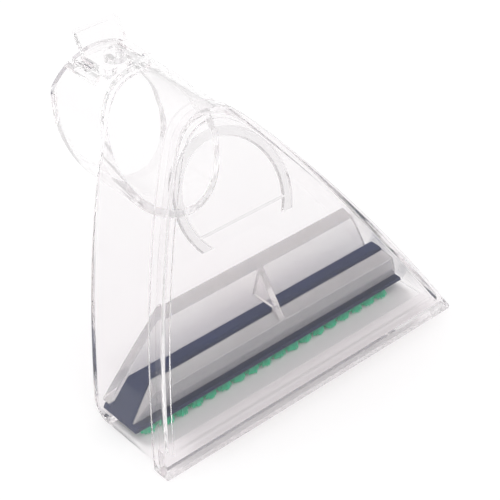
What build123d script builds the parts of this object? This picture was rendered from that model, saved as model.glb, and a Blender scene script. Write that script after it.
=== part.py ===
"""Upholstery wash tool: a clear hood with a leaning window, a hose neck with a latch, and a brush insert.

Millimetres, +Z up. The origin is the centre of the neck's rim, the neck's axis runs along +Y and X = 0 is the plane
of symmetry. Depths are measured along Y from the window's lower front edge, and heights from the mouth.
"""

import os
from math import atan2, cos, degrees, hypot, radians, sin, sqrt, tan

from build123d import *

# Hood
mouth_width = 114.8
hood_height = 72.5
hood_depth = 35.0
overall_length = 102.0
window_angle = 55.0
apex_radius = 19.0
flank_radius = 270.0
wall = 1.8
flange_step = 0.7
flange_thickness = 2.6
back_edge_radius = 2.0
heel_radius = 10.0
heel_inner_radius = 3.0
lip_thickness = 2.5
lip_width = 6.0
sill_bar_height = 4.2

# Window
window_thickness = 2.0
window_border = 2.8
window_sill = 5.6
panel_recess = 0.5
window_corner_radius = 0.8
window_edge_radius = 0.5
rib_radius = 20.2
rib_wall = 2.8
rib_reach = 1.5
rib_rise = 62.5
rib_tie_rise = 55.6
rib_tie_thickness = 0.6
rib_leg = 4.1

# Neck and latch
neck_bore = 34.0
neck_wall = 3.0
neck_axis_height = 52.5
neck_length = 22.4
latch_width = 16.0
latch_rise = 1.5
latch_start = 84.0
latch_hole = 7.0
latch_hole_depth = 91.0
latch_slot = 1.4
latch_slot_start = 88.0
lip_tab_depth = 95.1
lip_tab_height = 6.2
lip_tab_thickness = 2.2
lip_tab_lean = 32.0

# Brush insert and its holder
fit_gap = 0.3
end_gap = 0.4
flange_plate_thickness = 1.5
flange_plate_front = 18.4
brush_back_gap = 1.4
block_height = 16.0
block_top_depth = 24.2
block_shoulder_height = 11.5
block_shoulder_depth = 28.6
block_foot_depth = 30.6
block_foot_radius = 1.5
blade_foot_depth = 20.8
blade_top_depth = 20.3
blade_front_depth = 16.6
blade_front_height = 15.7
blade_tip = 0.6
blade_drop = 1.2
divider_thickness = 3.0
divider_lean = 12.0
divider_back_gap = 1.3
window_gap = 2.5
web_thickness = 2.0

# Bristles
tuft_rows = 2
tuft_count = 18
tuft_pitch = 5.4
tuft_row_pitch = 4.8
tuft_front_inset = 2.3
tuft_root_radius = 1.7
tuft_tip_radius = 2.65
tuft_sides = 12

margin = 12.0

# Values that follow from the sizes above
slope = tan(radians(window_angle))
front = -(hood_depth + neck_length + neck_axis_height / slope)
base = -neck_axis_height
window_depth = window_thickness / sin(radians(window_angle))
flange_depth = window_depth + flange_thickness / sin(radians(window_angle))
inner_back = hood_depth - wall / sin(radians(window_angle))
inner_inset = flange_step + wall
neck_radius = neck_bore / 2 + neck_wall
neck_crest = neck_axis_height + neck_radius
brush_floor = lip_thickness + fit_gap
flange_plate_top = brush_floor + flange_plate_thickness
block_top = brush_floor + block_height
holder_foot = flange_plate_top + fit_gap

side = Plane(origin=(0, front, base), x_dir=(0, 1, 0), z_dir=(1, 0, 0))
across = Plane(origin=(0, front, base), x_dir=(1, 0, 0), z_dir=(0, -1, 0))
level = Plane(origin=(0, front, base), x_dir=(1, 0, 0), z_dir=(0, 0, 1))
back_normal = Vector(0, sin(radians(window_angle)), -cos(radians(window_angle)))
window_front = Plane(origin=(0, front, base), x_dir=(1, 0, 0), z_dir=-back_normal)


def behind_window(depth, height):
    """A side point at a height, that depth behind the window's front face."""
    return (depth + height / slope, height)


# The flank is one large arc from the mouth's corner, which runs smoothly into the arc over the apex
apex_centre = hood_height - apex_radius
corner_to_apex = hypot(mouth_width / 2, apex_centre)
along = (corner_to_apex**2 + flank_radius**2 - (flank_radius - apex_radius) ** 2) / (2 * corner_to_apex)
aside = sqrt(flank_radius**2 - along**2)
to_apex = (-mouth_width / 2 / corner_to_apex, apex_centre / corner_to_apex)
flank_centre = (
    mouth_width / 2 + along * to_apex[0] - aside * to_apex[1],
    along * to_apex[1] + aside * to_apex[0],
)
join_angle = atan2(apex_centre - flank_centre[1], -flank_centre[0])


def hood_outline(inset, drop=0.0, corner_radius=0.0):
    """The hood's front outline, moved in by an inset; its base can drop below the mouth or have round corners."""
    radius = flank_radius - inset
    base = flank_centre[0] + sqrt(radius**2 - flank_centre[1] ** 2)
    base_angle = atan2(-flank_centre[1], base - flank_centre[0])
    middle_angle = (base_angle + join_angle) / 2
    crown = apex_radius - inset
    middle = (flank_centre[0] + radius * cos(middle_angle), flank_centre[1] + radius * sin(middle_angle))
    join = (crown * cos(join_angle), apex_centre + crown * sin(join_angle))
    with BuildSketch() as outline:
        with BuildLine():
            ThreePointArc((base, 0), middle, join)
            ThreePointArc(join, (0, apex_centre + crown), (-join[0], join[1]))
            ThreePointArc((-join[0], join[1]), (-middle[0], middle[1]), (-base, 0))
            if drop:
                Polyline((-base, 0), (-base, -drop), (base, -drop), (base, 0))
            else:
                Line((-base, 0), (base, 0))
        make_face()
        if corner_radius:
            fillet(outline.vertices().group_by(Axis.Y)[0], corner_radius)
    return outline.sketch


def hood_slice(inset, front_depth, back_depth, low=0.0, corner_radius=0.0, drop=0.0):
    """The hood's outline run back along Y, between two planes parallel to the window."""
    high = hood_height + margin
    with BuildPart() as piece:
        with BuildSketch(across):
            add(hood_outline(inset, drop, corner_radius))
        extrude(amount=-(overall_length + margin))
        with BuildSketch(side):
            with BuildLine():
                Polyline(
                    behind_window(front_depth, low),
                    behind_window(back_depth, low),
                    behind_window(back_depth, high),
                    behind_window(front_depth, high),
                    close=True,
                )
            make_face()
        extrude(amount=mouth_width, both=True, mode=Mode.INTERSECT)
    return piece.part


# Hood body, before it is hollowed: the heel under the back wall and the back edges are rounded
with BuildPart() as hood_block:
    add(hood_slice(flange_step, window_depth, hood_depth))
    heel = hood_block.edges().filter_by(Axis.X).group_by(Axis.Z)[0].sort_by(Axis.Y)[-1]
    fillet(heel, heel_radius)
    back_face = hood_block.faces().sort_by(lambda face: face.normal_at().dot(back_normal))[-1]
    fillet(back_face.edges().sort_by(Axis.Z)[1:], back_edge_radius)

# Hollow of the hood: open at the window and the mouth, with a lip left under the brush and a bar along the front
with BuildPart() as hollow:
    with BuildSketch(across):
        add(hood_outline(inner_inset, margin))
    extrude(amount=-(overall_length + margin))
    lip_edge = hood_depth - lip_width
    lip_corner = behind_window(inner_back, lip_thickness)
    with BuildSketch(side) as hollow_profile:
        with BuildLine():
            Polyline(
                behind_window(0, sill_bar_height),
                behind_window(flange_depth, sill_bar_height),
                behind_window(flange_depth, -margin),
                (lip_edge, -margin),
                (lip_edge, lip_thickness),
                lip_corner,
                behind_window(inner_back, hood_height + margin),
                behind_window(0, hood_height + margin),
                close=True,
            )
        make_face()
        fillet(hollow_profile.vertices().sort_by_distance(lip_corner)[0], heel_inner_radius)
    extrude(amount=mouth_width, both=True, mode=Mode.INTERSECT)

# Neck tube: its rim leans like the window and is cut square at the top
with BuildPart() as neck_tube:
    with BuildSketch(across):
        with Locations((0, neck_axis_height)):
            Circle(neck_radius)
    extrude(amount=-overall_length)
    with BuildSketch(side):
        with BuildLine():
            Polyline(
                behind_window(inner_back, 0),
                behind_window(hood_depth + neck_length, 0),
                behind_window(hood_depth + neck_length, hood_height + margin),
                behind_window(inner_back, hood_height + margin),
                close=True,
            )
        make_face()
    extrude(amount=mouth_width, both=True, mode=Mode.INTERSECT)

# Bore of the neck, through the hood's back wall
with BuildPart() as neck_hole:
    with BuildSketch(across):
        with Locations((0, neck_axis_height)):
            Circle(neck_bore / 2)
    extrude(amount=-(overall_length + margin))
    with BuildSketch(side):
        with BuildLine():
            Polyline(
                behind_window(inner_back - wall, 0),
                behind_window(hood_depth + neck_length + margin, 0),
                behind_window(hood_depth + neck_length + margin, hood_height + margin),
                behind_window(inner_back - wall, hood_height + margin),
                close=True,
            )
        make_face()
    extrude(amount=mouth_width, both=True, mode=Mode.INTERSECT)

# Latch: a tongue on the neck's crest with an upturned tab at its free end
latch_top = neck_crest + latch_rise
tab_lean = tan(radians(lip_tab_lean))
tab_run = lip_tab_thickness / cos(radians(lip_tab_lean))
tab_end = latch_top + lip_tab_height
with BuildPart() as latch:
    with BuildSketch(side):
        with BuildLine():
            Polyline(
                (latch_start, neck_crest - neck_wall),
                (latch_start, latch_top),
                (lip_tab_depth, latch_top),
                (lip_tab_depth + lip_tab_height * tab_lean, tab_end),
                (lip_tab_depth + lip_tab_height * tab_lean + tab_run, tab_end),
                (lip_tab_depth + tab_run, latch_top),
                (lip_tab_depth + tab_run, neck_crest - neck_wall),
                close=True,
            )
        make_face()
    extrude(amount=latch_width / 2, both=True)

with BuildPart() as body_shell:
    add(hood_block.part)
    add(hood_slice(0, window_depth, flange_depth, corner_radius=window_corner_radius))
    add(neck_tube.part)
    add(latch.part)
    add(hollow.part, mode=Mode.SUBTRACT)
    add(neck_hole.part, mode=Mode.SUBTRACT)
    with BuildSketch(level.offset(neck_axis_height)):
        with Locations((0, latch_hole_depth)):
            Circle(latch_hole / 2)
        slot_length = overall_length + margin - latch_slot_start
        for hand in (-1, 1):
            with Locations((hand * (latch_width + latch_slot) / 2, latch_slot_start + slot_length / 2)):
                Rectangle(latch_slot, slot_length)
    extrude(amount=hood_height, mode=Mode.SUBTRACT)
body_shell.part.label = "body_shell"

# D-shaped rib behind the window: part of a ring, as wide as the neck, with a thin tie across its foot
with BuildPart() as rib:
    with BuildSketch(window_front.offset(-window_thickness / 2)):
        with Locations((0, rib_rise)):
            Circle(rib_radius)
            Circle(rib_radius - rib_wall, mode=Mode.SUBTRACT)
        with Locations((0, rib_tie_rise - rib_leg)):
            Rectangle(mouth_width, mouth_width, align=(Align.CENTER, Align.MAX), mode=Mode.SUBTRACT)
        with Locations((0, rib_tie_rise)):
            Rectangle(2 * (rib_radius - rib_wall), rib_tie_thickness)
        with Locations((0, rib_rise)):
            Circle(rib_radius, mode=Mode.INTERSECT)
    extrude(amount=-(window_thickness / 2 + rib_reach))
    add(hood_slice(inner_inset + fit_gap, 0, overall_length), mode=Mode.INTERSECT)

# Window: a flat plate with a raised border
with BuildPart() as window_cover:
    add(hood_slice(0, 0, window_depth, corner_radius=window_corner_radius))
    front_face = window_cover.faces().sort_by(lambda face: face.normal_at().dot(back_normal))[0]
    fillet(front_face.edges().sort_by(Axis.Z)[1:], window_edge_radius)
    sill_height = window_sill * sin(radians(window_angle))
    recess_depth = panel_recess / sin(radians(window_angle))
    add(hood_slice(window_border, -margin, recess_depth, low=sill_height), mode=Mode.SUBTRACT)
    add(rib.part)
window_cover.part.label = "window_cover"

# Holder: a leaning divider, a wedge blade in front of the brush and one web that ties them
divider_back = behind_window(inner_back, holder_foot)[0] - divider_back_gap
divider_run = tan(radians(divider_lean))
divider_step = divider_thickness / cos(radians(divider_lean))
window_line = window_depth + window_gap


def divider_top(foot_depth):
    """Where a line that leans forward from the divider's foot meets the gap behind the window."""
    height = (foot_depth + holder_foot * divider_run - window_line) / (1 / slope + divider_run)
    return behind_window(window_line, height)


with BuildPart() as brush_holder:
    with BuildSketch(side):
        with BuildLine():
            Polyline(
                (divider_back, holder_foot),
                divider_top(divider_back),
                divider_top(divider_back - divider_step),
                (divider_back - divider_step, holder_foot),
                close=True,
            )
        make_face()
        with BuildLine():
            Polyline(
                (blade_foot_depth, holder_foot),
                (blade_top_depth, block_top - blade_drop),
                (blade_front_depth, blade_front_height),
                (blade_foot_depth - blade_tip, holder_foot),
                close=True,
            )
        make_face()
    extrude(amount=mouth_width, both=True)
    with BuildSketch(side):
        with BuildLine():
            web_floor = block_top + fit_gap
            Polyline(
                (blade_front_depth, blade_front_height),
                (blade_top_depth, block_top - blade_drop),
                (blade_top_depth, web_floor),
                (divider_back - (web_floor - holder_foot) * divider_run - divider_thickness / 2, web_floor),
                divider_top(divider_back - divider_step),
                behind_window(window_line, blade_front_height + blade_tip),
                close=True,
            )
        make_face()
    extrude(amount=web_thickness / 2, both=True)
    with BuildSketch(across):
        add(hood_outline(inner_inset + fit_gap))
    extrude(amount=-overall_length, mode=Mode.INTERSECT)
brush_holder.part.label = "brush_holder"

# Brush block: a flange plate with a raised back that sits between the divider and the blade
brush_back = behind_window(inner_back, brush_floor)[0] - brush_back_gap
with BuildPart() as brush_block:
    with BuildSketch(side) as block_profile:
        with BuildLine():
            Polyline(
                (flange_plate_front, brush_floor),
                (flange_plate_front, flange_plate_top),
                (blade_foot_depth + fit_gap, flange_plate_top),
                (blade_top_depth + fit_gap, block_top - blade_tip),
                (blade_top_depth + fit_gap + blade_tip, block_top),
                (block_top_depth, block_top),
                (block_shoulder_depth, brush_floor + block_shoulder_height),
                (block_foot_depth, flange_plate_top),
                (brush_back, flange_plate_top),
                (brush_back, brush_floor),
                close=True,
            )
        make_face()
        foot = block_profile.vertices().sort_by_distance((block_foot_depth, flange_plate_top))[0]
        fillet(foot, block_foot_radius)
    extrude(amount=mouth_width, both=True)
    with BuildSketch(across):
        add(hood_outline(inner_inset + end_gap))
    extrude(amount=-overall_length, mode=Mode.INTERSECT)
brush_block.part.label = "brush_block"

# One tuft of bristles, which spreads from the flange plate down to the mouth
with BuildPart() as tuft:
    with BuildSketch(level):
        RegularPolygon(tuft_tip_radius, tuft_sides)
    extrude(amount=brush_floor, taper=degrees(atan2(tuft_tip_radius - tuft_root_radius, brush_floor)))

# The tufts stand in staggered rows
with BuildPart() as bristle_tufts:
    for row in range(tuft_rows):
        row_depth = flange_plate_front + tuft_front_inset + row * tuft_row_pitch
        stagger = (row % 2 - 1 / 2) * tuft_pitch / 2
        for place in range(tuft_count):
            across_place = (place - (tuft_count - 1) / 2) * tuft_pitch + stagger
            with Locations((across_place, row_depth, 0)):
                add(tuft.part)
bristle_tufts.part.label = "bristle_tufts"

os.makedirs("parts", exist_ok=True)
export_step(body_shell.part, "parts/body_shell.step")
export_step(window_cover.part, "parts/window_cover.step")
export_step(brush_holder.part, "parts/brush_holder.step")
export_step(brush_block.part, "parts/brush_block.step")
export_step(bristle_tufts.part, "parts/bristle_tufts.step")
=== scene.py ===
"""Looks of a clear upholstery wash tool: moulded clear hood, navy brush block and green bristle tufts."""

import math

import bmesh
import bpy
from mathutils import Matrix, Vector


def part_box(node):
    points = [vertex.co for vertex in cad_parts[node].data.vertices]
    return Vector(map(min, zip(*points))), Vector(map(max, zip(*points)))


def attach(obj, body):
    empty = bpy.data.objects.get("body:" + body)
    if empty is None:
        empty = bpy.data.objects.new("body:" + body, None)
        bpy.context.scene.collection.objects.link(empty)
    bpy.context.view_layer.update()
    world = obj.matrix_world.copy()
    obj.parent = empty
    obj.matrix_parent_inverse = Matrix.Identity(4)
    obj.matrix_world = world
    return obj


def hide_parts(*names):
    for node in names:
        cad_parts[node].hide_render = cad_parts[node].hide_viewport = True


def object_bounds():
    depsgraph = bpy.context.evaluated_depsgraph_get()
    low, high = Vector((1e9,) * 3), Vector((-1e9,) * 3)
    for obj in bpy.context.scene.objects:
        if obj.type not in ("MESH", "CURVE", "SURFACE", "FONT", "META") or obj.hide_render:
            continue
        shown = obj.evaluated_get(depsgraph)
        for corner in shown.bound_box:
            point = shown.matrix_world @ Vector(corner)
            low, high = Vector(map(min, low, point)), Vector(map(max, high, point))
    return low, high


bl_info = {
    "name": "Upholstery wash tool",
    "version": (1, 0, 0),
    "blender": (4, 5, 0),
    "location": "View3D > Sidebar > Wash Tool",
    "description": "Dresses a clear wash nozzle with its brush and sets it in a plain studio",
    "category": "Object",
}

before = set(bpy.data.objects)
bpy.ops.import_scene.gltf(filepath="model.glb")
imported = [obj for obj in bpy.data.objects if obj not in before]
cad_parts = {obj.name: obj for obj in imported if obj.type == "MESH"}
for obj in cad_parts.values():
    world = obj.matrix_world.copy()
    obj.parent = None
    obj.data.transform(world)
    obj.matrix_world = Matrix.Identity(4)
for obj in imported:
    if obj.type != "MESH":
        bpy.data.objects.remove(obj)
CAD_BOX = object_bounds()
TUFT_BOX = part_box("bristle_tufts")

# The tuft rows of the brush, in metres, as on the moulded block; rows are half a pitch apart
TUFT_COUNT = 18
TUFT_ROWS = 2
TUFT_PITCH = 0.0054
TUFT_ROW_PITCH = 0.0048
TUFT_TIP_RADIUS = 0.00265
TUFT_ROOT_RADIUS = 0.0017
ROW_STAGGER = 0.5

# One bristle is a slim rod; in a tuft its length and lean vary, and the outer ones are a little shorter
OUTWARD = "outward"
GOLDEN_TURN = math.pi * (3 - math.sqrt(5))
ROD_SIDES = 5
ROD_TAPER = 0.55
SWAY = 0.12
TRIM_LOW = 0.93
TRIM_HIGH = 0.985
TRIM_SEED_STEP = 7.0
DROOP = 0.05
DROOP_POWER = 3.0

# The window's outer face, by the foot of its slope, and its thickness
WINDOW_FOOT = Vector((0.0, -0.094161, -0.0525))
WINDOW_ANGLE = math.radians(55.0)
WINDOW_THICKNESS = 0.0020

# The rib's painted shade comes in between these distances behind the window's inner face
RIB_START = 0.0001
RIB_FULL = 0.0004

# How far the window's copy is pressed into the flange behind it, so that the joint shows no double face
WINDOW_PRESS = 0.00005

# Softened edges: near faces merge, and corners past the second angle are rounded
MERGE_DISTANCE = 1e-6
FLAT_ANGLE = math.radians(0.4)
CORNER_ANGLE = math.radians(32.0)
CORNER_STEPS = 2
LEVEL_WEIGHT = 100

# Scales of the flow marks and the grain on each material
CLEAR_MARKS = (22.0, 260.0)
HAZY_MARKS = (30.0, 500.0)
NAVY_MARKS = (60.0, 1800.0)
BRISTLE_MARKS = (700.0, 4000.0)
FLOOR_MARKS = (6.0, 900.0)
FLOW_DETAIL = 3.0
FLOW_DISTORTION = 0.8
GRAIN_DETAIL = 2.0

# Lowest and highest roughness; the clear plastic's are shares of its haze
CLEAR_HAZE = (0.5, 1.5)
HAZY_ROUGH = (0.08, 0.14)
NAVY_ROUGH = (0.38, 0.56)
BRISTLE_ROUGH = (0.42, 0.6)
FLOOR_ROUGH = 0.9

# Strength and depth of the bumps
CLEAR_BUMP = (0.08, 0.0006)
HAZY_BUMP = (0.05, 0.0003)
NAVY_BUMP = (0.12, 0.0002)

# How far the colours shift over the marks, and how dark the painted shade at a bristle's root is
CLEAR_PALER = 0.03
HAZY_PALER = 0.04
NAVY_LIGHTER = 1.7
PALE_RED = 0.03
PALE_GREEN = 1.35
PALE_BLUE = 0.05
ROOT_PAINTED_SHADE = 0.45
FLOOR_SHADE = 0.99

# Optics: share of light passed, refraction and shine; a view that has met too many clear faces goes straight on
CLEAR_PASS = 0.985
CLEAR_IOR = 1.45
HAZY_PASS = 0.80
HAZY_IOR = 1.42
NAVY_SHINE = 0.22
CAUGHT_DEPTH = 9.0

# The stage
LIGHT_BOUNCES = 32
MIRROR_BOUNCES = 16
SKY_FADE = (0.25, 0.75)
SUN_SPREAD = math.radians(25.0)
FLOOR_RADIUS = 3.0
FLOOR_SIDES = 64
FLOOR_GAP = 0.0002
SENSOR_WIDTH = 36.0
NEAREST_VIEW = 0.01


class WASHTOOL_PG_clear(bpy.types.PropertyGroup):
    """Clear moulded plastic."""

    tint: bpy.props.FloatVectorProperty(
        name="Tint",
        description="Colour that the clear plastic passes",
        default=(0.976, 0.964, 0.968),
        size=3,
        min=0.0,
        max=1.0,
        subtype="COLOR",
    )
    # Painted shade: the rib is the same clear plastic, given this greyer colour for the grey look that light
    # gives it
    rib: bpy.props.FloatVectorProperty(
        name="Rib",
        description="Colour that the rib behind the window passes",
        default=(0.80, 0.79, 0.795),
        size=3,
        min=0.0,
        max=1.0,
        subtype="COLOR",
    )
    milk: bpy.props.FloatVectorProperty(
        name="Milk",
        description="Colour of the milky holder",
        default=(0.995, 0.975, 0.970),
        size=3,
        min=0.0,
        max=1.0,
        subtype="COLOR",
    )
    haze: bpy.props.FloatProperty(
        name="Haze",
        description="Roughness of the moulded faces",
        default=0.03,
        min=0.0,
        max=1.0,
        subtype="FACTOR",
    )
    edge_round: bpy.props.FloatProperty(
        name="Edge round",
        description="Radius that softens the clear edges",
        default=0.00035,
        min=0.0,
        unit="LENGTH",
    )


class WASHTOOL_PG_brush(bpy.types.PropertyGroup):
    """Brush block and bristles."""

    navy: bpy.props.FloatVectorProperty(
        name="Navy",
        description="Colour of the brush block",
        default=(0.003, 0.010, 0.050),
        size=3,
        min=0.0,
        max=1.0,
        subtype="COLOR",
    )
    edge_round: bpy.props.FloatProperty(
        name="Edge round",
        description="Radius that softens the block's edges",
        default=0.0004,
        min=0.0,
        unit="LENGTH",
    )
    bristle_green: bpy.props.FloatVectorProperty(
        name="Bristle green",
        description="Colour of the bristles",
        default=(0.025, 0.66, 0.40),
        size=3,
        min=0.0,
        max=1.0,
        subtype="COLOR",
    )
    bristles_per_tuft: bpy.props.IntProperty(
        name="Bristles per tuft", description="Number of bristles in each tuft", default=150, min=1
    )
    bristle_radius: bpy.props.FloatProperty(
        name="Bristle radius", description="Radius of one bristle", default=0.00026, min=0.0, unit="LENGTH"
    )
    splay: bpy.props.FloatProperty(
        name="Splay",
        description="How far the tips spread, as a share of the moulded tuft's",
        default=1.2,
        min=0.0,
    )
    seed: bpy.props.IntProperty(
        name="Seed", description="Seed of the bristles' lengths and lean", default=4, min=0
    )


class WASHTOOL_PG_stage(bpy.types.PropertyGroup):
    """Floor, light and camera."""

    lens: bpy.props.FloatProperty(
        name="Lens", description="Focal length of the camera in millimetres", default=112.32, min=1.0
    )
    camera_place: bpy.props.FloatVectorProperty(
        name="Camera place",
        description="Place of the camera from the neck's rim",
        default=(-0.242146, -0.334582, 0.253572),
        size=3,
        subtype="TRANSLATION",
        unit="LENGTH",
    )
    heading: bpy.props.FloatProperty(
        name="Heading",
        description="Turn of the view from the neck's axis",
        default=0.7294625,
        subtype="ANGLE",
    )
    dip: bpy.props.FloatProperty(
        name="Dip", description="How far the view looks down", default=0.6424149, subtype="ANGLE"
    )
    sky: bpy.props.FloatProperty(
        name="Sky", description="Strength of the even white light", default=0.90, min=0.0
    )
    dim_sky: bpy.props.FloatProperty(
        name="Dim sky", description="Strength of the light near the horizon", default=0.70, min=0.0
    )
    floor_tone: bpy.props.FloatProperty(
        name="Floor tone",
        description="Paleness of the floor",
        default=0.90,
        min=0.0,
        max=1.0,
        subtype="FACTOR",
    )
    sun: bpy.props.FloatProperty(
        name="Sun", description="Strength of the light from behind", default=1.40, min=0.0
    )
    sun_place: bpy.props.FloatVectorProperty(
        name="Sun place",
        description="Direction that the light from behind comes from",
        default=(-0.22, 0.90, 0.98),
        size=3,
        subtype="DIRECTION",
    )


def feed(tree, socket, value):
    """Link an output to an input, or give the input a value of its own."""
    if isinstance(value, bpy.types.NodeSocket):
        tree.links.new(value, socket)
    else:
        socket.default_value = value


def calc(tree, operation, first, second=0.0):
    """A number worked out from one or two others."""
    node = tree.nodes.new("ShaderNodeMath")
    node.operation = operation
    feed(tree, node.inputs[0], first)
    feed(tree, node.inputs[1], second)
    return node.outputs[0]


def vector_calc(tree, operation, first, second=None):
    """A vector, a length or a product worked out from vectors, or from a vector and a number."""
    node = tree.nodes.new("ShaderNodeVectorMath")
    node.operation = operation
    feed(tree, node.inputs[0], first)
    if second is not None:
        feed(tree, node.inputs["Scale" if operation == "SCALE" else 1], second)
    return node.outputs["Value" if operation in ("LENGTH", "DOT_PRODUCT") else "Vector"]


def vector_of(tree, x=0.0, y=0.0, z=0.0):
    """A vector put together from numbers."""
    node = tree.nodes.new("ShaderNodeCombineXYZ")
    for socket, value in zip(node.inputs, (x, y, z)):
        feed(tree, socket, value)
    return node.outputs[0]


def spread(tree, source, limits, start=0.0, end=1.0, ease="LINEAR"):
    """Map a value between start and end onto a range."""
    node = tree.nodes.new("ShaderNodeMapRange")
    node.interpolation_type = ease
    low, high = limits
    node.inputs["From Min"].default_value = start
    node.inputs["From Max"].default_value = end
    node.inputs["To Min"].default_value = low
    node.inputs["To Max"].default_value = high
    tree.links.new(source, node.inputs["Value"])
    return node.outputs["Result"]


def two_tone(tree, source, first, second):
    """Mix two colours, each with its alpha or from another node, by a 0 to 1 value."""
    node = tree.nodes.new("ShaderNodeMix")
    node.data_type = "RGBA"
    tree.links.new(source, node.inputs["Factor"])
    feed(tree, node.inputs["A"], first)
    feed(tree, node.inputs["B"], second)
    return node.outputs["Result"]


def opaque(colour):
    """A plain colour with full alpha."""
    return (*colour, 1.0)


def paled(colour, step):
    """A plain colour made paler by a step."""
    return tuple(min(1.0, part + step) for part in colour)


def shaded(colour, share):
    """A plain colour made lighter or darker by a share."""
    return tuple(part * share for part in colour)


def bump(tree, shader, height, strength_and_depth):
    """Feed a height to the shader's normal."""
    node = tree.nodes.new("ShaderNodeBump")
    strength, depth = strength_and_depth
    node.inputs["Strength"].default_value = strength
    node.inputs["Distance"].default_value = depth
    tree.links.new(height, node.inputs["Height"])
    tree.links.new(node.outputs["Normal"], shader.inputs["Normal"])


def new_material(name):
    """A material with a shader and its output."""
    material = bpy.data.materials.new(name)
    material.use_nodes = True
    tree = material.node_tree
    tree.nodes.clear()
    output = tree.nodes.new("ShaderNodeOutputMaterial")
    shader = tree.nodes.new("ShaderNodeBsdfPrincipled")
    tree.links.new(shader.outputs["BSDF"], output.inputs["Surface"])
    return material, tree, shader


def moulding_marks():
    """Shared group: wide flow marks and fine grain of moulded plastic, each a 0 to 1 value."""
    name = "moulding_marks"
    if name in bpy.data.node_groups:
        return bpy.data.node_groups[name]
    group = bpy.data.node_groups.new(name, "ShaderNodeTree")
    for scale in ("Flow scale", "Grain scale"):
        group.interface.new_socket(scale, in_out="INPUT", socket_type="NodeSocketFloat")
    for mark in ("Flow", "Grain"):
        group.interface.new_socket(mark, in_out="OUTPUT", socket_type="NodeSocketFloat")
    nodes = group.nodes
    links = group.links
    inlet = nodes.new("NodeGroupInput")
    outlet = nodes.new("NodeGroupOutput")
    place = nodes.new("ShaderNodeTexCoord")
    wide = nodes.new("ShaderNodeTexNoise")
    wide.inputs["Detail"].default_value = FLOW_DETAIL
    wide.inputs["Distortion"].default_value = FLOW_DISTORTION
    fine = nodes.new("ShaderNodeTexNoise")
    fine.inputs["Detail"].default_value = GRAIN_DETAIL
    links.new(place.outputs["Object"], wide.inputs["Vector"])
    links.new(place.outputs["Object"], fine.inputs["Vector"])
    links.new(inlet.outputs["Flow scale"], wide.inputs["Scale"])
    links.new(inlet.outputs["Grain scale"], fine.inputs["Scale"])
    links.new(wide.outputs["Fac"], outlet.inputs["Flow"])
    links.new(fine.outputs["Fac"], outlet.inputs["Grain"])
    return group


def marked(tree, scales):
    """Place the shared marks with a material's own scales, and give their flow and their grain."""
    node = tree.nodes.new("ShaderNodeGroup")
    node.node_tree = moulding_marks()
    for name, scale in zip(("Flow scale", "Grain scale"), scales):
        node.inputs[name].default_value = scale
    return node.outputs["Flow"], node.outputs["Grain"]


def let_lamps_through(tree, shader, tint):
    """Let light fall straight through clear plastic, and let views caught inside its walls out again."""
    output = next(node for node in tree.nodes if node.type == "OUTPUT_MATERIAL")
    path = tree.nodes.new("ShaderNodeLightPath")
    lamp = calc(tree, "MAXIMUM", path.outputs["Is Shadow Ray"], path.outputs["Is Diffuse Ray"])
    caught = calc(tree, "GREATER_THAN", path.outputs["Ray Depth"], CAUGHT_DEPTH)
    open_way = tree.nodes.new("ShaderNodeBsdfTransparent")
    open_way.inputs["Color"].default_value = opaque(tint)
    mix = tree.nodes.new("ShaderNodeMixShader")
    tree.links.new(calc(tree, "MAXIMUM", lamp, caught), mix.inputs["Fac"])
    tree.links.new(shader.outputs["BSDF"], mix.inputs[1])
    tree.links.new(open_way.outputs["BSDF"], mix.inputs[2])
    tree.links.new(mix.outputs["Shader"], output.inputs["Surface"])


def behind_window(tree):
    """Mask of what stands out behind the window's inner face, where the rib's painted shade goes."""
    outward = Vector((0.0, -math.sin(WINDOW_ANGLE), math.cos(WINDOW_ANGLE)))
    inner = outward.dot(WINDOW_FOOT) - WINDOW_THICKNESS
    place = tree.nodes.new("ShaderNodeTexCoord")
    along = vector_calc(tree, "DOT_PRODUCT", place.outputs["Object"], outward)
    return spread(tree, along, (0.0, 1.0), inner - RIB_START, inner - RIB_FULL)


def clear_material(settings, name, rib_shaded):
    """Clear glossy plastic with faint flow marks, and painted shade greying the rib behind the window."""
    material, tree, shader = new_material(name)
    flow, _ = marked(tree, CLEAR_MARKS)
    tint = tuple(settings.tint)
    colour = two_tone(tree, flow, opaque(tint), opaque(paled(tint, CLEAR_PALER)))
    # Painted shade: the rib behind the window takes the greyer rib colour
    if rib_shaded:
        colour = two_tone(tree, behind_window(tree), colour, opaque(settings.rib))
    tree.links.new(colour, shader.inputs["Base Color"])
    tree.links.new(spread(tree, flow, shaded(CLEAR_HAZE, settings.haze)), shader.inputs["Roughness"])
    bump(tree, shader, flow, CLEAR_BUMP)
    shader.inputs["Transmission Weight"].default_value = CLEAR_PASS
    shader.inputs["IOR"].default_value = CLEAR_IOR
    let_lamps_through(tree, shader, tint)
    return material


def hazy_material(settings):
    """Natural plastic of the brush holder, milky beside the hood."""
    material, tree, shader = new_material("hazy_moulded_plastic")
    flow, grain = marked(tree, HAZY_MARKS)
    milk = tuple(settings.milk)
    colour = two_tone(tree, flow, opaque(milk), opaque(paled(milk, HAZY_PALER)))
    tree.links.new(colour, shader.inputs["Base Color"])
    tree.links.new(spread(tree, flow, HAZY_ROUGH), shader.inputs["Roughness"])
    bump(tree, shader, grain, HAZY_BUMP)
    shader.inputs["Transmission Weight"].default_value = HAZY_PASS
    shader.inputs["IOR"].default_value = HAZY_IOR
    let_lamps_through(tree, shader, milk)
    return material


def navy_material(settings):
    """Satin navy moulding."""
    material, tree, shader = new_material("navy_moulded_plastic")
    flow, grain = marked(tree, NAVY_MARKS)
    navy = tuple(settings.navy)
    colour = two_tone(tree, flow, opaque(navy), opaque(shaded(navy, NAVY_LIGHTER)))
    tree.links.new(colour, shader.inputs["Base Color"])
    tree.links.new(spread(tree, grain, NAVY_ROUGH), shader.inputs["Roughness"])
    shader.inputs["Specular IOR Level"].default_value = NAVY_SHINE
    bump(tree, shader, grain, NAVY_BUMP)
    return material


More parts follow.
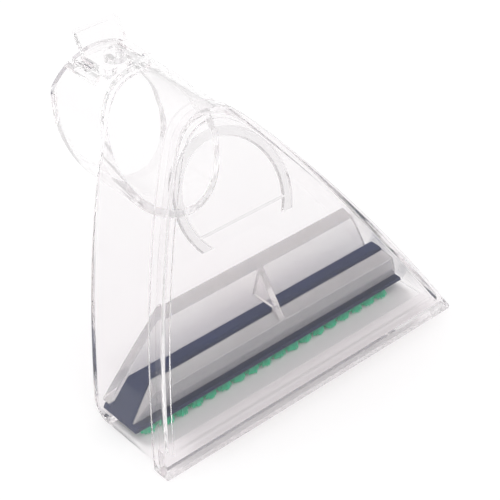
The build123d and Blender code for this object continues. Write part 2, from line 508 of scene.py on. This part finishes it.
def bristle_material(settings):
    """Green bristles, with painted shade darkening them towards the root."""
    material, tree, shader = new_material("green_bristle_fibre")
    place = tree.nodes.new("ShaderNodeTexCoord")
    parts = tree.nodes.new("ShaderNodeSeparateXYZ")
    tree.links.new(place.outputs["Object"], parts.inputs["Vector"])
    # Painted shade: the bristles darken towards the root, where the tuft is dense and under the block
    root = spread(tree, parts.outputs["Z"], (0.0, 1.0), TUFT_BOX[0][2], TUFT_BOX[1][2])
    flow, grain = marked(tree, BRISTLE_MARKS)
    red, green, blue = settings.bristle_green
    pale = (red + PALE_RED, min(1.0, green * PALE_GREEN), blue + PALE_BLUE)
    fibre = two_tone(tree, flow, opaque((red, green, blue)), opaque(pale))
    colour = two_tone(tree, root, fibre, opaque(shaded((red, green, blue), ROOT_PAINTED_SHADE)))
    tree.links.new(colour, shader.inputs["Base Color"])
    tree.links.new(spread(tree, grain, BRISTLE_ROUGH), shader.inputs["Roughness"])
    return material


def floor_material(settings):
    """Bright pale floor."""
    material, tree, shader = new_material("pale_floor")
    flow, _ = marked(tree, FLOOR_MARKS)
    pale = (settings.floor_tone,) * 3
    colour = two_tone(tree, flow, opaque(shaded(pale, FLOOR_SHADE)), opaque(pale))
    tree.links.new(colour, shader.inputs["Base Color"])
    shader.inputs["Roughness"].default_value = FLOOR_ROUGH
    shader.inputs["Specular IOR Level"].default_value = 0.0
    return material


def white_room(settings):
    """Even white light from above, dimmer towards the horizon, which the window and the flanks mirror."""
    world = bpy.data.worlds.new("white_room")
    world.use_nodes = True
    tree = world.node_tree
    sky = tree.nodes["Background"]
    sky.inputs["Color"].default_value = opaque((1.0, 1.0, 1.0))
    place = tree.nodes.new("ShaderNodeTexCoord")
    height = tree.nodes.new("ShaderNodeSeparateXYZ")
    tree.links.new(place.outputs["Generated"], height.inputs["Vector"])
    strength = spread(
        tree, height.outputs["Z"], (settings.dim_sky, settings.sky), *SKY_FADE, ease="SMOOTHSTEP"
    )
    tree.links.new(strength, sky.inputs["Strength"])
    return world


def settle(piece):
    """Turn a piece and its modifiers into a plain mesh."""
    evaluated = piece.evaluated_get(bpy.context.evaluated_depsgraph_get())
    mesh = bpy.data.meshes.new_from_object(evaluated)
    piece.modifiers.clear()
    piece.data = mesh
    return mesh


def dress(node, name, material, radius, press=0.0):
    """Stand a merged copy with softened edges in for a moulded piece, pressed back along the neck's axis."""
    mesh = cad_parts[node].data.copy()
    mesh.name = name
    form = bmesh.new()
    form.from_mesh(mesh)
    bmesh.ops.remove_doubles(form, verts=form.verts, dist=MERGE_DISTANCE)
    bmesh.ops.dissolve_limit(form, angle_limit=FLAT_ANGLE, verts=form.verts, edges=form.edges)
    bmesh.ops.translate(form, verts=form.verts, vec=(0.0, press, 0.0))
    form.to_mesh(mesh)
    form.free()
    mesh.polygons.foreach_set("use_smooth", [True] * len(mesh.polygons))
    piece = bpy.data.objects.new(name, mesh)
    bpy.context.scene.collection.objects.link(piece)
    soften = piece.modifiers.new("soft_edges", "BEVEL")
    soften.width = radius
    soften.segments = CORNER_STEPS
    soften.limit_method = "ANGLE"
    soften.angle_limit = CORNER_ANGLE
    level = piece.modifiers.new("level_faces", "WEIGHTED_NORMAL")
    level.weight = LEVEL_WEIGHT
    level.keep_sharp = True
    mesh = settle(piece)
    mesh.materials.clear()
    mesh.materials.append(material)
    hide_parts(node)
    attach(piece, "root")
    return piece


def bristle_sizes(settings):
    """Inputs of the bristle rows: socket type and value by name."""
    return {
        "Tufts": ("NodeSocketInt", TUFT_COUNT),
        "Pitch": ("NodeSocketFloat", TUFT_PITCH),
        "Row pitch": ("NodeSocketFloat", TUFT_ROW_PITCH),
        "Bristles": ("NodeSocketInt", settings.bristles_per_tuft),
        "Bristle radius": ("NodeSocketFloat", settings.bristle_radius),
        "Root radius": ("NodeSocketFloat", TUFT_ROOT_RADIUS),
        "Splay": ("NodeSocketFloat", (TUFT_TIP_RADIUS - TUFT_ROOT_RADIUS) * settings.splay),
        "Length": ("NodeSocketFloat", TUFT_BOX[1][2] - TUFT_BOX[0][2]),
        "Seed": ("NodeSocketInt", settings.seed),
    }


def bristle_tree(sizes, material):
    """Geometry nodes: staggered rows of tufts, each a splayed bundle of bristles."""
    tree = bpy.data.node_groups.new("bristle_rows", "GeometryNodeTree")
    for name, (kind, value) in sizes.items():
        tree.interface.new_socket(name, in_out="INPUT", socket_type=kind).default_value = value
    tree.interface.new_socket("Geometry", in_out="OUTPUT", socket_type="NodeSocketGeometry")
    links = tree.links
    given = tree.nodes.new("NodeGroupInput").outputs
    outlet = tree.nodes.new("NodeGroupOutput")

    def add(kind, **values):
        node = tree.nodes.new(kind)
        for key, value in values.items():
            setattr(node, key, value)
        return node

    # Tuft places: one line of points for each row
    middle = (TUFT_BOX[0][1] + TUFT_BOX[1][1]) / 2
    half = calc(tree, "MULTIPLY", calc(tree, "SUBTRACT", given["Tufts"], 1.0), -0.5)
    rows = add("GeometryNodeJoinGeometry")
    for row in range(TUFT_ROWS):
        shift = (row % 2 - 0.5) * ROW_STAGGER
        lane = row - (TUFT_ROWS - 1) / 2
        start_x = calc(tree, "MULTIPLY", calc(tree, "ADD", half, shift), given["Pitch"])
        start_y = calc(tree, "ADD", calc(tree, "MULTIPLY", given["Row pitch"], lane), middle)
        line = add("GeometryNodeMeshLine")
        links.new(given["Tufts"], line.inputs["Count"])
        links.new(vector_of(tree, start_x, start_y, TUFT_BOX[1][2]), line.inputs["Start Location"])
        links.new(vector_of(tree, given["Pitch"]), line.inputs["Offset"])
        links.new(line.outputs["Mesh"], rows.inputs["Geometry"])

    # One tuft: points on a sunflower spiral in the root circle
    index = add("GeometryNodeInputIndex").outputs[0]
    turn = calc(tree, "MULTIPLY", index, GOLDEN_TURN)
    reach = calc(tree, "SQRT", calc(tree, "DIVIDE", calc(tree, "ADD", index, 0.5), given["Bristles"]))
    across = calc(tree, "MULTIPLY", calc(tree, "COSINE", turn), reach)
    along = calc(tree, "MULTIPLY", calc(tree, "SINE", turn), reach)
    unit = vector_of(tree, across, along)
    bundle = add("GeometryNodePoints")
    links.new(given["Bristles"], bundle.inputs["Count"])
    links.new(vector_calc(tree, "SCALE", unit, given["Root radius"]), bundle.inputs["Position"])
    kept = add("GeometryNodeStoreNamedAttribute", data_type="FLOAT_VECTOR", domain="POINT")
    kept.inputs["Name"].default_value = OUTWARD
    links.new(bundle.outputs[0], kept.inputs["Geometry"])
    links.new(unit, kept.inputs["Value"])
    places = add("GeometryNodeInstanceOnPoints")
    links.new(rows.outputs[0], places.inputs["Points"])
    links.new(kept.outputs["Geometry"], places.inputs["Instance"])
    roots = add("GeometryNodeRealizeInstances")
    links.new(places.outputs[0], roots.inputs[0])

    # Bristles: slim rods that lean outwards from the tuft's middle, trimmed near one level
    rod = add("GeometryNodeMeshCone", fill_type="TRIANGLE_FAN")
    rod.inputs["Vertices"].default_value = ROD_SIDES
    rod.inputs["Side Segments"].default_value = 1
    links.new(given["Bristle radius"], rod.inputs["Radius Bottom"])
    links.new(calc(tree, "MULTIPLY", given["Bristle radius"], ROD_TAPER), rod.inputs["Radius Top"])
    rod.inputs["Depth"].default_value = 1.0
    stored = add("GeometryNodeInputNamedAttribute", data_type="FLOAT_VECTOR")
    stored.inputs["Name"].default_value = OUTWARD
    outward = stored.outputs["Attribute"]
    jitter = add("FunctionNodeRandomValue", data_type="FLOAT_VECTOR")
    jitter.inputs[0].default_value = (-SWAY, -SWAY, 0.0)
    jitter.inputs[1].default_value = (SWAY, SWAY, 0.0)
    links.new(given["Seed"], jitter.inputs["Seed"])
    lean = vector_calc(tree, "SCALE", outward, calc(tree, "DIVIDE", given["Splay"], given["Length"]))
    swayed = vector_calc(tree, "ADD", lean, jitter.outputs[0])
    aim = vector_calc(tree, "ADD", swayed, (0.0, 0.0, -1.0))
    align = add("FunctionNodeAlignRotationToVector", axis="Z")
    links.new(aim, align.inputs["Vector"])
    trim = add("FunctionNodeRandomValue", data_type="FLOAT")
    trim.inputs[2].default_value = TRIM_LOW
    trim.inputs[3].default_value = TRIM_HIGH
    links.new(calc(tree, "ADD", given["Seed"], TRIM_SEED_STEP), trim.inputs["Seed"])
    droop = calc(tree, "POWER", vector_calc(tree, "LENGTH", outward), DROOP_POWER)
    dome = calc(tree, "SUBTRACT", 1.0, calc(tree, "MULTIPLY", droop, DROOP))
    level = calc(tree, "MULTIPLY", calc(tree, "MULTIPLY", given["Length"], trim.outputs[1]), dome)
    long = calc(tree, "MULTIPLY", level, vector_calc(tree, "LENGTH", aim))
    stems = add("GeometryNodeInstanceOnPoints")
    links.new(roots.outputs[0], stems.inputs["Points"])
    links.new(rod.outputs["Mesh"], stems.inputs["Instance"])
    links.new(align.outputs[0], stems.inputs["Rotation"])
    links.new(vector_of(tree, 1.0, 1.0, long), stems.inputs["Scale"])
    whole = add("GeometryNodeRealizeInstances")
    links.new(stems.outputs[0], whole.inputs[0])
    finish = add("GeometryNodeSetMaterial")
    finish.inputs["Material"].default_value = material
    links.new(whole.outputs[0], finish.inputs["Geometry"])
    links.new(finish.outputs[0], outlet.inputs["Geometry"])
    return tree


class WASHTOOL_OT_clear_pieces(bpy.types.Operator):
    """Give the hood, the window and the brush holder their clear plastic and soft edges"""

    bl_idname = "washtool.clear_pieces"
    bl_label = "Clear Pieces"

    def execute(self, context):
        settings = context.scene.washtool_clear
        hood = clear_material(settings, "clear_moulded_plastic", False)
        window = clear_material(settings, "clear_ribbed_plastic", True)
        for node, name, finish, press in (
            ("body_shell", "clear_hood", hood, 0.0),
            ("window_cover", "clear_window", window, WINDOW_PRESS),
            ("brush_holder", "hazy_holder", hazy_material(settings), 0.0),
        ):
            piece = dress(node, name, finish, settings.edge_round, press)
        return {"FINISHED"}


class WASHTOOL_OT_brush_block(bpy.types.Operator):
    """Give the brush block its navy plastic and soft edges"""

    bl_idname = "washtool.brush_block"
    bl_label = "Brush Block"

    def execute(self, context):
        settings = context.scene.washtool_brush
        piece = dress("brush_block", "navy_block", navy_material(settings), settings.edge_round)
        return {"FINISHED"}


class WASHTOOL_OT_bristles(bpy.types.Operator):
    """Grow the green bristle tufts under the brush block"""

    bl_idname = "washtool.bristles"
    bl_label = "Bristles"

    def execute(self, context):
        settings = context.scene.washtool_brush
        piece = bpy.data.objects.new("green_bristles", bpy.data.meshes.new("green_bristles"))
        context.scene.collection.objects.link(piece)
        sizes = bristle_sizes(settings)
        grow = piece.modifiers.new("grow", "NODES")
        grow.node_group = bristle_tree(sizes, bristle_material(settings))
        for socket in grow.node_group.interface.items_tree:
            if socket.in_out == "INPUT":
                grow[socket.identifier] = sizes[socket.name][1]
        mesh = settle(piece)
        if not mesh.polygons:
            raise RuntimeError("no bristles were grown")
        if OUTWARD in mesh.attributes:
            mesh.attributes.remove(mesh.attributes[OUTWARD])
        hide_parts("bristle_tufts")
        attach(piece, "root")
        return {"FINISHED"}


class WASHTOOL_OT_stage(bpy.types.Operator):
    """Set the floor, the soft light and the camera"""

    bl_idname = "washtool.stage"
    bl_label = "Stage"

    def execute(self, context):
        settings = context.scene.washtool_stage
        scene = context.scene
        scene.view_settings.view_transform = "Standard"
        scene.world = white_room(settings)
        scene.cycles.max_bounces = LIGHT_BOUNCES
        scene.cycles.transmission_bounces = LIGHT_BOUNCES
        scene.cycles.glossy_bounces = MIRROR_BOUNCES

        form = bmesh.new()
        bmesh.ops.create_circle(form, cap_ends=True, segments=FLOOR_SIDES, radius=FLOOR_RADIUS)
        bmesh.ops.translate(form, verts=form.verts, vec=(0.0, 0.0, CAD_BOX[0][2] - FLOOR_GAP))
        mesh = bpy.data.meshes.new("floor")
        form.to_mesh(mesh)
        form.free()
        mesh.materials.append(floor_material(settings))
        floor = bpy.data.objects.new("floor", mesh)
        scene.collection.objects.link(floor)

        light = bpy.data.lights.new("back_light", "SUN")
        light.energy = settings.sun
        light.angle = SUN_SPREAD
        lamp = bpy.data.objects.new("back_light", light)
        lamp.rotation_euler = Vector(settings.sun_place).to_track_quat("Z", "Y").to_euler()
        lamp.visible_glossy = False
        lamp.visible_transmission = False
        scene.collection.objects.link(lamp)

        heading = settings.heading
        level = math.cos(settings.dip)
        ahead = Vector((math.sin(heading) * level, math.cos(heading) * level, -math.sin(settings.dip)))
        right = Vector((math.cos(heading), -math.sin(heading), 0.0))
        up = right.cross(ahead)
        turn = Matrix((right, up, -ahead)).transposed()
        lens = bpy.data.cameras.new("camera")
        lens.lens = settings.lens
        lens.sensor_width = SENSOR_WIDTH
        lens.sensor_fit = "HORIZONTAL"
        lens.clip_start = NEAREST_VIEW
        camera = bpy.data.objects.new("camera", lens)
        camera.matrix_world = Matrix.Translation(settings.camera_place) @ turn.to_4x4()
        scene.collection.objects.link(camera)
        scene.camera = camera
        return {"FINISHED"}


class WASHTOOL_PT_panel(bpy.types.Panel):
    """Lists the settings and the steps of the tool and its stage"""

    bl_idname = "WASHTOOL_PT_panel"
    bl_label = "Wash Tool"
    bl_space_type = "VIEW_3D"
    bl_region_type = "UI"
    bl_category = "Wash Tool"

    def draw(self, context):
        layout = self.layout
        for name, group in GROUPS.items():
            box = layout.box()
            for setting in group.__annotations__:
                box.prop(getattr(context.scene, name), setting)
        for operator in OPERATORS:
            layout.operator(operator.bl_idname)


GROUPS = {
    "washtool_clear": WASHTOOL_PG_clear,
    "washtool_brush": WASHTOOL_PG_brush,
    "washtool_stage": WASHTOOL_PG_stage,
}
OPERATORS = (WASHTOOL_OT_clear_pieces, WASHTOOL_OT_brush_block, WASHTOOL_OT_bristles, WASHTOOL_OT_stage)
CLASSES = (*GROUPS.values(), *OPERATORS, WASHTOOL_PT_panel)


def register():
    for item in CLASSES:
        bpy.utils.register_class(item)
    for name, group in GROUPS.items():
        setattr(bpy.types.Scene, name, bpy.props.PointerProperty(type=group))


def unregister():
    for name in GROUPS:
        delattr(bpy.types.Scene, name)
    for item in reversed(CLASSES):
        bpy.utils.unregister_class(item)


def main():
    register()
    bpy.ops.washtool.clear_pieces()
    bpy.ops.washtool.brush_block()
    bpy.ops.washtool.bristles()
    bpy.ops.washtool.stage()


if __name__ == "__main__":
    main()
